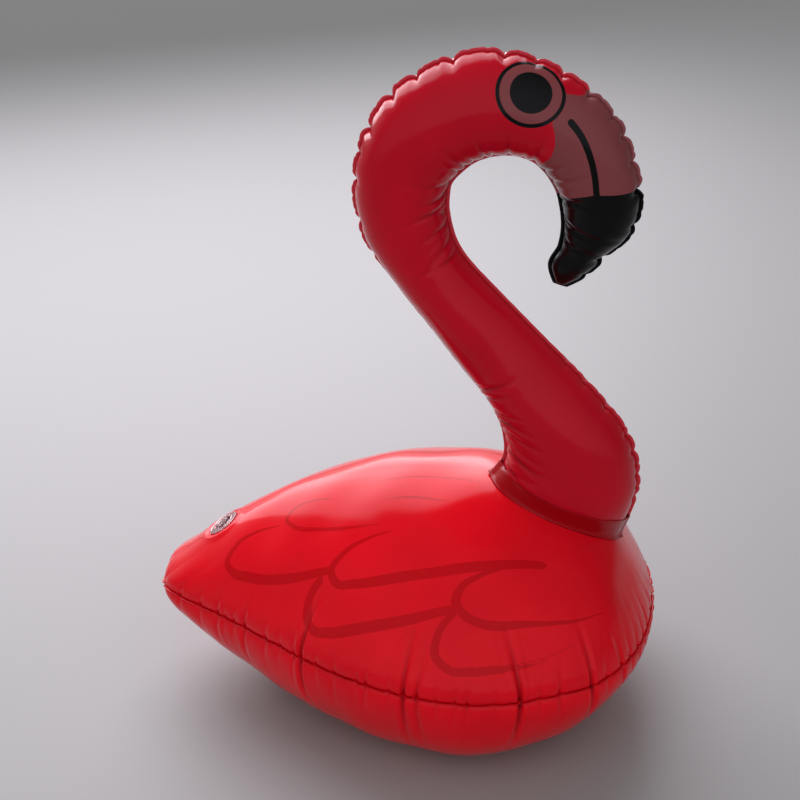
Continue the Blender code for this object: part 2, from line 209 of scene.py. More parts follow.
# Printed wing feathers, in three groups whose lines keep well apart: points of each line's middle (x, distance
# from the symmetry plane), and how wide it is at five places from its start to its end
FEATHER_GROUPS = ((
    (((-0.156, 0.059), (-0.190, 0.053), (-0.212, 0.056), (-0.223, 0.069), (-0.213, 0.084), (-0.191, 0.098),
      (-0.152, 0.118), (-0.115, 0.130), (-0.079, 0.137)), (0.0015, 0.0060, 0.0125, 0.0125, 0.0095)),
    (((0.138, 0.143), (0.108, 0.158), (0.088, 0.173), (0.084, 0.187), (0.096, 0.198), (0.120, 0.203),
      (0.174, 0.189), (0.238, 0.155), (0.261, 0.132)), (0.0030, 0.0100, 0.0110, 0.0055, 0.0008)),
    (((-0.050, 0.030), (0.020, 0.020), (0.100, 0.026)), (0.0010, 0.0030, 0.0040, 0.0030, 0.0010)),
), (
    (((-0.006, 0.108), (-0.035, 0.113), (-0.060, 0.122), (-0.076, 0.138), (-0.069, 0.151), (-0.043, 0.159),
      (0.037, 0.159), (0.117, 0.145), (0.184, 0.124)), (0.0020, 0.0090, 0.0130, 0.0130, 0.0100)),
    (((0.083, 0.197), (0.068, 0.212), (0.064, 0.228), (0.082, 0.239), (0.110, 0.239), (0.141, 0.233),
      (0.203, 0.204), (0.230, 0.182)), (0.0080, 0.0105, 0.0110, 0.0055, 0.0008)),
    (((-0.030, 0.064), (0.010, 0.060), (0.062, 0.066)), (0.0010, 0.0030, 0.0045, 0.0030, 0.0010)),
), (
    (((-0.089, 0.142), (-0.100, 0.152), (-0.102, 0.166), (-0.092, 0.179), (-0.071, 0.189), (-0.045, 0.196),
      (0.018, 0.202), (0.083, 0.194)), (0.0095, 0.0115, 0.0140, 0.0130, 0.0100)),
    (((-0.092, 0.044), (-0.119, 0.038), (-0.141, 0.042), (-0.148, 0.053), (-0.138, 0.067), (-0.099, 0.085),
      (-0.060, 0.094), (-0.019, 0.097)), (0.0015, 0.0040, 0.0060, 0.0050, 0.0010)),
))

# Print on the head, in the side view (x, z)
EYE = (0.146, 0.834)
EYE_DEPTH = 0.044  # its distance from the symmetry plane
EYE_RADIUS = 0.0410
EYE_LINE = 0.0046
PUPIL_RADIUS = 0.0247
# The pale print's outline, from the beak's root down; its lower and front sides lie clear of the beak
BEAK_PRINT = (
    (0.181, 0.829), (0.1785, 0.812), (0.171, 0.799), (0.1745, 0.786), (0.1748, 0.772), (0.171, 0.758),
    (0.161, 0.746), (0.148, 0.728), (0.148, 0.600), (0.300, 0.600), (0.300, 0.822), (0.250, 0.822),
    (0.213, 0.821),
)
TIP_LINE = ((0.160, 0.690), (0.200, 0.706), (0.222, 0.713), (0.268, 0.711), (0.300, 0.708))
BLACK_FROM_Z = 0.545  # nothing lower on the neck is printed black
MOUTH = (
    (0.1915, 0.800), (0.200, 0.790), (0.207, 0.779), (0.2125, 0.767), (0.217, 0.754), (0.2215, 0.735),
    (0.2245, 0.712),
)
MOUTH_WIDTH = 0.0074

# Valve: outlines of (radius, height over the flange's outer face), and the sizes of its soft parts
FLANGE_HALF = 0.0006  # half the flange's thickness
FLANGE_OUTLINE = (
    (0.0125, 0.0005), (0.0140, 0.0008), (0.0152, 0.0002), (0.0186, 0.0002), (0.0192, 0.0006), (0.0200, 0.0006),
    (0.0206, 0.0001), (0.0217, 0.0), (0.0217, -0.0008), (0.0125, -2 * FLANGE_HALF),
)
STEM_OUTLINE = (
    (0.0046, 0.0006), (0.0085, 0.0006), (0.0085, -0.0008), (0.0062, -0.0010), (0.0062, -0.0086),
    (0.0066, -0.0090), (0.0062, -0.0094), (0.0062, -0.0184), (0.0046, -0.0184),
)
STOPPER_OUTLINE = (
    (0.0, 0.0023), (0.0056, 0.0023), (0.0062, 0.0027), (0.0082, 0.0027), (0.0085, 0.0022), (0.0085, 0.0009),
    (0.0043, 0.0009), (0.0043, -0.0060), (0.0039, -0.0071), (0.0, -0.0071),
)
FLAP_OUTLINE = ((0.0, -0.0187), (0.0060, -0.0187), (0.0060, -0.0193), (0.0, -0.0193))
FUNNEL_RADII = (0.0068, 0.0121)  # at the stem and at the flange
FUNNEL_TOP = -0.0007
FUNNEL_BOTTOM = -0.0085
FUNNEL_THICKNESS = 0.0005
TAB_REACH = (0.0070, 0.0128)  # from the valve's axis
TAB_WIDTH = 0.0062
TAB_THICKNESS = 0.0011
STRAP_HEIGHTS = (-0.0001, 0.0018)  # where it leaves the stem's rim and where it meets the stopper's
STRAP_REACH = 0.0084
STRAP_WIDTH = 0.0028
STRAP_THICKNESS = 0.0007
FILM_OPENING = 0.0145  # radius of the top film's hole under the flange
DIMPLE_RADIUS = 0.0228  # the film lies flat inside this radius
DIMPLE_SEAT = -0.0010

# Colours
# BODY_RED and NECK_RED are one vinyl: the body's red is painted brighter, as painted light for the light that
# shines through the body's film
BODY_RED = (0.750, 0.0045, 0.0130)
NECK_RED = (0.500, 0.0045, 0.0170)
FEATHER_RED = (0.540, 0.0015, 0.0060)
COLLAR_RED = (0.330, 0.0015, 0.0050)
PALE = (0.215, 0.052, 0.056)
# The neck's weld lip and the pale print on it are painted lighter and pinker than the neck's film and print:
# painted light for the light that shines through the thin lip
NECK_LIP_RED = (0.600, 0.040, 0.060)
LIP_PALE = (0.300, 0.090, 0.100)
BLACK = (0.0040, 0.0040, 0.0042)
CLEAR = (0.86, 0.58, 0.60)
FLOOR_GRAY = (0.33, 0.33, 0.33)
SHEEN_TINT = (0.28, 0.28, 0.31)

# Camera
CAMERA_ELEVATION = math.radians(27)
CAMERA_AZIMUTH = math.radians(8)
CAMERA_DISTANCE = 2.5
CAMERA_AIM = Vector((-0.0095, -0.0034, 0.4125))
CAMERA_LENS = 90


# ---- Curves and surfaces ----


def between(along, cuts):
    """For each place, the number of the cut before it, the gap to the next cut, and its share of that gap."""
    left = np.clip(np.searchsorted(cuts, along, side="right") - 1, 0, len(cuts) - 2)
    gap = cuts[left + 1] - cuts[left]
    return left, gap, (along - cuts[left]) / gap


def smooth(knots, values, at):
    """A smooth curve through the values: cubic spans with the knots' mean slopes."""
    slopes = np.gradient(values, knots, axis=0)
    left, span, t = between(at, knots)
    if values.ndim == 2:
        span, t = span[:, None], t[:, None]
    from_left = (2 * t**3 - 3 * t**2 + 1) * values[left] + (t**3 - 2 * t**2 + t) * span * slopes[left]
    from_right = (3 * t**2 - 2 * t**3) * values[left + 1] + (t**3 - t**2) * span * slopes[left + 1]
    return from_left + from_right


def travelled(points):
    """Distance along a path, from its first point."""
    return np.concatenate(([0], np.cumsum(np.linalg.norm(np.diff(points, axis=0), axis=1))))


def resampled(points, count):
    """This many points at equal steps along a path."""
    along = travelled(points)
    wanted = np.linspace(0, along[-1], count)
    return np.stack([np.interp(wanted, along, points[:, k]) for k in range(points.shape[1])], axis=1)


def smooth_path(points, count):
    """A rounded path through given points."""
    points = np.array(points, float)
    along = travelled(points)
    return smooth(along, points, np.linspace(0, along[-1], count))


def ease(t):
    t = np.clip(t, 0, 1)
    return t * t * (3 - 2 * t)


def unit(vectors):
    return vectors / np.maximum(np.linalg.norm(vectors, axis=-1, keepdims=True), 1e-12)


def body_profile(column, from_tail):
    knots = BODY_STATIONS[:, 0]
    squares = smooth(knots, BODY_STATIONS[:, column] ** 2, np.clip(from_tail, knots[0], knots[-1]))
    return np.sqrt(np.maximum(squares, 0))


def body_height(from_tail, y, upper=True):
    reach = body_profile(2 if upper else 3, from_tail)
    fullness = UPPER_FULLNESS if upper else LOWER_FULLNESS
    across = np.abs(y) / np.maximum(body_profile(1, from_tail), 1e-9)
    # Rounding the ridge that an exponent under 2 leaves on the centre line
    across = np.sqrt(across**2 + 0.06**2) - 0.06 * np.maximum(1 - across, 0) if upper else across
    return reach * np.maximum(1 - np.minimum(across, 1) ** fullness, 0) ** (1 / fullness)


def seam_outline():
    """The body's weld line seen from above, from the breast back along the left side, round the tail and
    forward along the right side."""
    tail, tip = BODY_STATIONS[0, 0], BODY_STATIONS[-1, 0]
    x = tip - (tip - tail) * (1 - np.cos(np.linspace(0, math.pi, 1500))) / 2
    side = np.stack([x, body_profile(1, x)], axis=1)
    left = resampled(np.vstack([side, [(tail, 0)]]), SEAM_POINTS // 2 + 1)
    return np.vstack([left, left[1:-1][::-1] * (1, -1)])


def grid_normals(points):
    """Unit normals of a grid of points, rows by columns, whose columns close round."""
    across = np.roll(points, -1, axis=1) - np.roll(points, 1, axis=1)
    return unit(np.cross(across, np.gradient(points, axis=0)))


def grid_along(points):
    """Each point's distance from the grid's first row, down its own column."""
    steps = np.linalg.norm(np.diff(points, axis=0), axis=2)
    return np.concatenate([np.zeros((1, points.shape[1])), np.cumsum(steps, axis=0)])


def folds(away, lateral, creases, breadth):
    """How deep the creases are at each point. A crease is a narrow valley that opens and fades with the
    distance away from its seam. lateral(crease) is each point's distance from its line. A crease with a start
    is shallow at the seam, and grows to its depth that far from it."""
    depth = np.zeros_like(away)
    for crease in creases:
        offset = np.abs(lateral(crease) - crease["lean"] * away)
        width = breadth * crease["broad"] + 0.020 * away
        fade = np.clip(1 - away / crease["reach"], 0, 1)
        fade = fade * ease(away / crease["start"]) if "start" in crease else fade**1.5
        valley = np.exp(-(offset / width) ** 1.4) - 0.28 * np.exp(-((offset - 2.1 * width) / width) ** 2)
        depth += crease["depth"] * fade * valley
    return depth


def lobes(along, cuts, height):
    """Rounded bulges between the cuts, with a sharp dip at each cut."""
    _, gap, share = between(along, cuts)
    return height * np.clip(gap / 0.035, 0.4, 1.3) * (np.sin(math.pi * np.clip(share, 0, 1)) ** 0.7 - 0.6)


def ripple(points, seed):
    """A slow uneven swell of about unit height, from a few crossing waves."""
    rng = np.random.default_rng(seed)
    total = np.zeros(points.shape[:-1])
    for _ in range(7):
        direction = unit(rng.normal(size=3))
        length = rng.uniform(0.07, 0.16)
        total += np.sin(2 * math.pi * (points @ direction) / length + rng.uniform(0, 2 * math.pi))
    return total / 3


# ---- Meshes ----


def mesh_object(name, points, faces):
    mesh = bpy.data.meshes.new(name)
    faces = [[int(v) for v in face] for face in faces]
    mesh.from_pydata(np.asarray(points, float).tolist(), [], faces)
    mesh.shade_smooth()
    obj = bpy.data.objects.new(name, mesh)
    bpy.context.scene.collection.objects.link(obj)
    return obj


def grid_faces(rows, columns, columns_close=True, rows_close=False):
    """Four-sided faces of a grid of points. Its columns or its rows can close round on themselves."""
    column = np.arange(columns if columns_close else columns - 1)
    after = (column + 1) % columns
    faces = []
    for row in range(rows if rows_close else rows - 1):
        here, there = row * columns, (row + 1) % rows * columns
        faces += zip(here + column, here + after, there + after, there + column)
    return faces


def end_caps(rows, columns):
    """The two faces that shut a tube of points at its first and last rows."""
    return [tuple(range(columns))[::-1], tuple(range((rows - 1) * columns, rows * columns))]


def store(obj, name, values):
    attribute = obj.data.attributes.new(name, "FLOAT", "POINT")
    attribute.data.foreach_set("value", np.asarray(values, np.float32).ravel())


def ribbon(name, middle, out, side, width, closed, bend):
    """A thin welded lip along a path: out points away from the film, side across the lip's thickness, and
    bend is how far its edge leans to the side."""
    count = len(middle)
    loops = []
    for reach, half in LIP_SECTION:
        reach = np.full(count, reach)
        sway = bend * np.clip(reach, 0, 1) ** 1.5
        aside = np.array(side) * (half * LIP_THICKNESS + sway)[:, None]
        loops.append(middle + out * (reach * width)[:, None] + aside)
    faces = grid_faces(count, len(loops), rows_close=closed) + ([] if closed else end_caps(count, len(loops)))
    return mesh_object(name, np.stack(loops, axis=1).reshape(-1, 3), faces)


# ---- The body ----


def body_rows():
    """The angles of the body's rows, and the number of the seam's row."""
    rows = [ROW_SPANS[0][0]]
    for (low, steps), (high, _) in zip(ROW_SPANS, ROW_SPANS[1:]):
        rows.extend(np.linspace(low, high, steps + 1)[1:])
    return np.radians(rows), rows.index(0)


def body_surface():
    """The inflated body before its creases, as a grid of points: its rows run from crown to crown."""
    rows, seam_row = body_rows()
    outline = seam_outline()
    crown = np.array((CROWN_X, 0.0))
    flat = crown + np.cos(rows)[:, None, None] * (outline - crown)
    rise = body_height(flat[..., 0], flat[..., 1], upper=True)
    drop = body_height(flat[..., 0], flat[..., 1], upper=False)
    soft = RESTING_ROUNDING
    drop = (drop + SEAM_Z - np.sqrt((drop - SEAM_Z) ** 2 + soft**2)) / 2 + soft / 2 * ease(drop / 0.05)
    height = np.where(rows[:, None] >= 0, rise, -np.minimum(drop, SEAM_Z))
    points = np.stack([flat[..., 0] + TAIL_X, flat[..., 1], height + SEAM_Z], axis=-1)
    return points, seam_row, travelled(np.vstack([outline, outline[:1]]))


def body_creases(outline, along, total):
    """Long folds where they are set, and short random puckers between them."""
    rng = np.random.default_rng(21)
    creases = []

    def add(at, depth, up, down, lean, broad):
        creases.append({"at": at, "depth": depth, "up": up, "down": down, "lean": lean, "broad": broad})

    for folds_of_side, side in ((LONG_FOLDS_RIGHT, -1), (LONG_FOLDS_LEFT, 1)):
        for x, depth, up, down in folds_of_side:
            near = np.where(outline[:, 1] * side > 0, np.abs(outline[:, 0] - x), FAR)
            add(along[int(np.argmin(near))], depth, up, down, rng.uniform(-0.08, 0.08), 0.9)
    placed = [crease["at"] for crease in creases]
    at = 0.0
    while at < total - 0.012:
        at += rng.uniform(0.016, 0.040)
        gap = min(abs((at - other + total / 2) % total - total / 2) for other in placed)
        if gap > 0.012:
            reach = rng.uniform(0.020, 0.060)
            depth = rng.uniform(0.0008, 0.0022)
            add(at, depth, reach, reach * rng.uniform(0.8, 1.6), rng.uniform(-0.15, 0.15), 0.8)
    return creases


def valve_dimple(points):
    """Flattens the film under the valve's flange, with a low swell round it. It also gives each point's
    distance from the valve's axis."""
    rel = points - VALVE_MIDDLE
    height = rel @ VALVE_AXIS
    radius = np.linalg.norm(rel - height[..., None] * VALVE_AXIS, axis=-1)
    near = (radius < 0.05) & (height > -0.05)
    share = 1 - ease((radius - DIMPLE_RADIUS) / 0.0085)
    swell = 0.0011 * np.exp(-((radius - 0.0292) / 0.0038) ** 2)
    wanted = np.where(near, height + share * (DIMPLE_SEAT - height) + swell, height)
    return points + (wanted - height)[..., None] * VALVE_AXIS, np.where(near, radius, 1.0)


def body_folds(points, away, upper, outline, along, total):
    """How deep the creases are at each point, and where along the weld they start."""
    heading = unit(np.roll(outline, -1, axis=0) - np.roll(outline, 1, axis=0))
    creases = body_creases(outline, along, total)

    def lateral(crease):
        """Distance from the upright plane that crosses the weld squarely at the crease."""
        column = int(np.searchsorted(along, crease["at"])) % len(outline)
        beside = (points[..., :2] - outline[column]) @ heading[column]
        apart = np.abs((along - crease["at"] + total / 2) % total - total / 2)
        return np.where(apart < 0.16, beside, FAR)

    for crease in creases:
        crease["reach"] = np.where(upper, crease["up"], crease["down"])
    starts = sorted(crease["at"] for crease in creases)
    return folds(away, lateral, creases, 0.0028), np.array([starts[-1] - total] + starts + [starts[0] + total])


def body_swell(points, away, upper, along, cuts):
    """How far the film bulges out between its creases and beside the weld, with a slow uneven swell."""
    bulge = lobes(along, cuts, 0.0020)[None, :] * np.exp(-(away / 0.030) ** 1.2)
    breast = ease((points[..., 0] - 0.18) / 0.10) * upper
    bulge = bulge + 0.0046 * (1 - breast) * (away / 0.020) * np.exp(1 - away / 0.020)
    return bulge + 0.0011 * ripple(points, 5) * ease(away / 0.06)


def weld_steps(along, cuts):
    """How far the weld line stands over its level: it tilts along each bulge, then steps back."""
    rng = np.random.default_rng(8)
    left, _, share = between(along, cuts)
    tilt = rng.uniform(0.0006, 0.0022, len(cuts)) * rng.choice((-1, 1), len(cuts))
    return tilt[left] * np.where(share < 0.92, share / 0.92, (1 - share) / 0.08) - tilt[left] / 2


def build_body():
    points, seam_row, along = body_surface()
    total, along = along[-1], along[:-1]
    normals = grid_normals(points)
    normals[0], normals[-1] = (0, 0, -1), (0, 0, 1)
    reach = grid_along(points)
    away = np.abs(reach - reach[seam_row])
    upper = np.arange(len(points))[:, None] >= seam_row
    free = np.where(upper, 1, ease((points[..., 2] - 0.002) / 0.02))  # 0 where the film rests on the floor
    depth, cuts = body_folds(points, away, upper, points[seam_row, :, :2], along, total)
    relief = body_swell(points, away, upper, along, cuts) - depth
    points = points + normals * (relief * free)[..., None]
    points[..., 2] += weld_steps(along, cuts) * np.exp(-away / 0.025) * free
    points[..., 2] = np.maximum(points[..., 2], 0)
    points, valve_radius = valve_dimple(points)

    # The crease depths go to the material as the fold field, which paints shade in the creases
    fields = {"away": away, "fold": depth / DARKEST_BODY_FOLD}
    lower_rows, upper_rows = slice(0, seam_row + 1), slice(seam_row, len(points))
    top = body_film("body_top_film", points, upper_rows, len(points) - seam_row - 1, fields, valve_radius)
    store_feathers(top)
    top.data.materials.append(body_vinyl)
    piece(top, "float", "red_vinyl", "body_top_panel")
    bottom = body_film("body_bottom_film", points, lower_rows, 0, fields, valve_radius)
    bottom.data.materials.append(plain_vinyl)
    piece(bottom, "float", "red_vinyl", "body_bottom_panel")
    build_body_lip(points, seam_row, along / total)


def body_film(name, points, span, pole, fields, valve_radius):
    """One panel of the body, with its hole under the valve. pole is the row in the span that is one point."""
    spots, faces = closed_cap(points[span], pole)
    radius = cap_values(valve_radius[span], pole)
    film = mesh_object(name, spots, [face for face in faces if radius[list(face)].min() > FILM_OPENING])
    for field, values in fields.items():
        store(film, field, cap_values(values[span], pole))
    drop_loose(film)
    return film


def build_body_lip(points, seam_row, turn):
    out = unit(grid_normals(points)[seam_row] * (1, 1, 0))
    sway = 0.0004 * np.sin(turn * 2 * math.pi * 61) * np.sin(turn * 2 * math.pi * 7)
    lip = ribbon("body_weld_lip", points[seam_row], out, (0, 0, 1), BODY_LIP_WIDTH, True, sway)
    lip.data.materials.append(lip_vinyl)
    piece(lip, "float", "red_vinyl", "body_seam_lip")


def cap_values(part, pole):
    """A grid's values in the order of closed_cap's points: the pole's row is one value, and comes last."""
    return np.concatenate([np.delete(part, pole, axis=0).reshape(-1, *part.shape[2:]), part[pole, :1]])


def closed_cap(part, pole):
    """Points and faces of a closed-round grid whose first or last row is one point."""
    count, columns = part.shape[:2]
    spots = cap_values(part, pole)
    faces = grid_faces(count - 1, columns)
    tip, edge = len(spots) - 1, 0 if pole == 0 else (count - 2) * columns
    for k in range(columns):
        pair = (edge + k, edge + (k + 1) % columns)
        faces.append((tip, pair[1], pair[0]) if pole == 0 else (pair[0], pair[1], tip))
    return spots, faces


def drop_loose(obj):
    """Removes points that no face uses."""
    bm = bmesh.new()
    bm.from_mesh(obj.data)
    bmesh.ops.delete(bm, geom=[v for v in bm.verts if not v.link_faces], context="VERTS")
    bm.to_mesh(obj.data)
    bm.free()


def store_feathers(film):
    """Stores where each point lies beside the feather lines, for the film's material."""
    spots = np.array([v.co for v in film.data.vertices])
    for group, lines in enumerate(FEATHER_GROUPS):
        offset, half = feather_fields(spots, lines)
        store(film, f"feather_offset_{group}", offset)
        store(film, f"feather_half_{group}", half)


def feather_fields(points, lines):
    """For each point, how far it is to the side of the nearest feather line (left of it is positive), and
    half that line's width there, which runs below zero past the line's ends and far from it."""
    spots = points * (1, 0, 1) + np.abs(points) * (0, 1, 0)
    nearest = np.full(len(points), FAR)
    offset, half = np.full(len(points), 0.03), np.full(len(points), -0.03)
    for line, widths in lines:
        middle = smooth_path(line, 240)
        middle = np.column_stack([middle, body_height(middle[:, 0] - TAIL_X, middle[:, 1]) + SEAM_Z])
        along = travelled(middle)
        tangent = unit(np.gradient(middle, axis=0))
        low, high = middle.min(axis=0) - 0.03, middle.max(axis=0) + 0.03
        for index in np.where(((spots > low) & (spots < high)).all(axis=1))[0]:
            rel = spots[index] - middle
            closest = int(np.argmin((rel * rel).sum(axis=1)))
            rel, way = rel[closest], tangent[closest]
            ahead = rel @ way
            aside = math.sqrt(max(rel @ rel - ahead * ahead, 0.0))
            place = along[closest] + ahead
            beyond = max(-place, place - along[-1], 0.0)
            distance = math.hypot(aside, beyond)
            if distance < nearest[index]:
                nearest[index] = distance
                offset[index] = math.copysign(aside, way[0] * rel[1] - way[1] * rel[0])
                width = 1.1 * np.interp(place / along[-1], (0, 0.25, 0.5, 0.75, 1), widths) / 2
                half[index] = max(width - beyond - 3 * max(aside - 0.012, 0.0), -0.03)
    return offset, half


# ---- The neck and head ----


def foot_ring(turn):
    """The neck's lowest section, which follows the body's top film."""
    middle, reach = (FOOT_REAR_X + FOOT_FRONT_X) / 2, (FOOT_FRONT_X - FOOT_REAR_X) / 2
    x, y = middle + reach * np.cos(turn), FOOT_HALF_WIDTH * np.sin(turn)
    return np.stack([x, y, body_height(x, y) + FOOT_LIFT], axis=-1)


def neck_surface():
    """The inflated neck before its creases: rows from foot to tip, columns all round from the front."""
    turn = np.linspace(0, 2 * math.pi, 2 * NECK_COLUMNS, endpoint=False)
    back, front = NECK_SECTIONS[:, 0:2], NECK_SECTIONS[:, 2:4]
    inset = LIP * unit(back - front)
    back, front = back - inset, front + inset
    rings = [foot_ring(turn)]
    for rear, fore, thickness in zip(back, front, NECK_SECTIONS[:, 4]):
        path = (rear + fore) / 2 + np.cos(turn)[:, None] * (fore - rear) / 2
        rings.append(np.stack([path[:, 0], thickness * np.sin(turn), path[:, 1]], axis=1))
    rings = np.array(rings)
    knots = travelled(rings.mean(axis=1) * 0.5 + rings[:, NECK_COLUMNS] * 0.5)
    fine = smooth(knots, rings.reshape(len(rings), -1), np.linspace(0, knots[-1], NECK_ROWS))
    points = fine.reshape(NECK_ROWS, len(turn), 3)
    points[..., 0] += TAIL_X
    points[..., 2] += SEAM_Z
    return points


def neck_creases(edge, along, notches, wrinkles, seed):
    """Creases along one seam of the neck: its notches, small puckers between them, and soft wrinkles."""
    rng = np.random.default_rng(seed)
    creases = []
    for x, z, depth in notches:
        row = int(np.argmin(np.hypot(edge[:, 0] - x, edge[:, 2] - z)))
        creases.append({"row": row, "depth": 0.72 * depth, "reach": 0.014 + 3.4 * depth,
                        "lean": rng.uniform(-0.12, 0.12), "broad": 1.0 + 110 * depth, "notch": True})
    notched = [along[crease["row"]] for crease in creases]
    at, last = min(notched), max(notched)
    while at < last:
        row = int(np.searchsorted(along, at))
        if min(abs(along[row] - along[crease["row"]]) for crease in creases) > 0.007:
            creases.append({"row": row, "depth": rng.uniform(0.0005, 0.0013),
                            "reach": rng.uniform(0.010, 0.024), "lean": rng.uniform(-0.2, 0.2), "broad": 0.7})
        at += rng.uniform(0.010, 0.022)
    low, high, strength = wrinkles
    below_beak = np.arange(len(edge)) < 0.93 * len(edge)
    inside = np.where((edge[:, 2] > low) & (edge[:, 2] < high) & below_beak)[0]
    start, end = along[inside[0]], along[inside[-1]]
    at = start
    while at < end:
        middle = 1 - abs(2 * (at - start) / (end - start) - 1)
        creases.append({"row": int(np.searchsorted(along, at)), "start": 0.012, "broad": rng.uniform(0.6, 1.1),
                        "depth": strength * rng.uniform(0.0020, 0.0044) * (0.6 + 0.4 * middle),
                        "reach": rng.uniform(0.050, 0.120), "lean": rng.uniform(-0.30, 0.30)})
        at += rng.uniform(0.007, 0.018)
    return creases


def build_neck():
    points = neck_surface()
    rows, columns = points.shape[:2]
    normals = grid_normals(points)
    along = grid_along(points)
    half = columns // 2
    relief, fold = neck_relief(points, along, half)
    taper = ease((np.arange(rows) / rows) / 0.02) * ease((1 - np.arange(rows) / rows) / 0.03)
    points = points + normals * (relief * taper[:, None])[..., None]

    # The soft wrinkles' depth goes to the material as the fold field, which paints shade in them
    fields = dict(zip(("ink", "pale"), head_print(points)), fold=fold / DARKEST_NECK_FOLD)
    for name, node, wanted in (
        ("neck_left_film", "neck_left_panel", np.arange(0, half + 1)),
        ("neck_right_film", "neck_right_panel", np.arange(half, columns + 1) % columns),
    ):
        count = len(wanted)
        faces = grid_faces(rows, count, columns_close=False) + end_caps(rows, count)[1:]
        film = mesh_object(name, points[:, wanted].reshape(-1, 3), faces)
        for field, values in fields.items():
            store(film, field, values[:, wanted])
        film.data.materials.append(head_vinyl)
        piece(film, "float", "red_vinyl", node)

    build_neck_lip(points, along, half)
    build_collar(points, normals)


def away_from_front(points, half):
    """Each point's distance from the front weld, round its row."""
    columns = points.shape[1]
    steps = np.linalg.norm(np.roll(points, -1, axis=1) - points, axis=2)
    away = np.zeros(points.shape[:2])
    for k in range(1, half + 1):
        away[:, k] = away[:, k - 1] + steps[:, k - 1]
        away[:, -k] = away[:, (-k + 1) % columns] + steps[:, -k]
    return away


def neck_relief(points, along, half):
    """How far the neck's film stands out of its smooth surface, and how deep its soft wrinkles are, for the
    painted shade in them.
    """
    away_front = away_from_front(points, half)
    away_back = away_front[:, half][:, None] - away_front
    turn = np.linspace(0, 2 * math.pi, points.shape[1], endpoint=False)
    side = np.where(np.sin(turn) > 0, 1, -1)

    def lateral(crease):
        # The two panels crease a little differently
        return along - along[crease["row"]] + 0.0022 * side * np.abs(np.sin(turn))

    relief, fold = np.zeros(along.shape), np.zeros(along.shape)
    for edge_column, away, notches, wrinkles, lobe, seed in (
        (half, away_back, BACK_NOTCHES, NAPE_WRINKLES, 0.0028, 3),
        (0, away_front, FRONT_NOTCHES, CROOK_WRINKLES, 0.0017, 4),
    ):
        edge_along = along[:, edge_column]
        creases = neck_creases(points[:, edge_column], edge_along, notches, wrinkles, seed)
        relief -= folds(away, lateral, creases, 0.0030)
        # The soft wrinkles alone, for the material's painted shade
        fold += folds(away, lateral, [crease for crease in creases if "start" in crease], 0.0030)
        cuts = sorted(float(edge_along[crease["row"]]) for crease in creases if crease.get("notch"))
        window = ease((edge_along - cuts[0]) / 0.02 + 1) * ease((cuts[-1] - edge_along) / 0.02 + 1)
        cuts = np.array([cuts[0] - 0.03] + cuts + [cuts[-1] + 0.03])
        relief += (lobes(edge_along, cuts, lobe) * window)[:, None] * np.exp(-(away / 0.013) ** 1.2)
    return relief + 0.0007 * ripple(points, 9), fold


def build_neck_lip(points, along, half):
    """The welded edge from the collar up the back, round the beak's tip and down the front to the collar."""
    start = int(np.searchsorted(along[:, half], COLLAR_REAR_HEIGHT))
    end = int(np.searchsorted(along[:, 0], COLLAR_HEIGHT))
    path = resampled(np.vstack([points[start:, half], points[end:, 0][::-1]]), 1500)
    calm = path.copy()
    for _ in range(60):
        calm[1:-1] = (calm[:-2] + 2 * calm[1:-1] + calm[2:]) / 4
    tangent = unit(np.gradient(calm, axis=0))
    out = np.cross((0, -1, 0), tangent)
    distance = travelled(path)
    sway = 0.0004 * np.sin(distance * 2 * math.pi / 0.021) * np.sin(distance * 2 * math.pi / 0.13)
    lip = ribbon("neck_weld_lip", path, out, (0, 1, 0), NECK_LIP_WIDTH, False, sway)
    for field, values in zip(("ink", "pale"), head_print(path)):
        store(lip, field, np.repeat(values, len(LIP_SECTION)))
    lip.data.materials.append(neck_lip_vinyl)
    piece(lip, "float", "red_vinyl", "neck_seam_lip")


def polygon_inside(spots, corners):
    """Signed distance to a polygon in the side view, positive inside."""
    corners = np.array(corners, float)
    nearest = np.full(len(spots), FAR)
    inside = np.zeros(len(spots), bool)
    for a, b in zip(corners, np.roll(corners, -1, axis=0)):
        edge, rel = b - a, spots - a
        share = np.clip(rel @ edge / (edge @ edge), 0, 1)
        nearest = np.minimum(nearest, np.linalg.norm(rel - share[:, None] * edge, axis=1))
        crosses = (a[1] > spots[:, 1]) != (b[1] > spots[:, 1])
        with np.errstate(divide="ignore", invalid="ignore"):
            at = a[0] + (spots[:, 1] - a[1]) / (b[1] - a[1]) * edge[0]
        inside ^= crosses & (spots[:, 0] < at)
    return np.where(inside, nearest, -nearest)


def head_print(points):
    """Signed distances into the black and the pale print, for points of the neck."""
    shape = points.shape[:-1]
    flat = points.reshape(-1, 3)
    side = flat[:, [0, 2]]
    eye = np.linalg.norm(np.column_stack([side - EYE, (np.abs(flat[:, 1]) - EYE_DEPTH)]), axis=1)
    tip = np.interp(side[:, 0], [p[0] for p in TIP_LINE], [p[1] for p in TIP_LINE]) - side[:, 1]
    tip = np.where((side[:, 0] > TIP_LINE[0][0] - 0.005) & (side[:, 1] > BLACK_FROM_Z), tip, -0.02)
    mouth = np.full(len(flat), -0.02)
    for spot in smooth_path(MOUTH, 60):
        mouth = np.maximum(mouth, MOUTH_WIDTH / 2 - np.linalg.norm(side - spot, axis=1))
    line = EYE_LINE / 2 - np.abs(eye - (EYE_RADIUS - EYE_LINE / 2))
    ink = np.maximum.reduce([tip, mouth, line, PUPIL_RADIUS - eye])
    pale = np.maximum(polygon_inside(side, BEAK_PRINT), EYE_RADIUS - eye)
    return ink.reshape(shape), pale.reshape(shape)


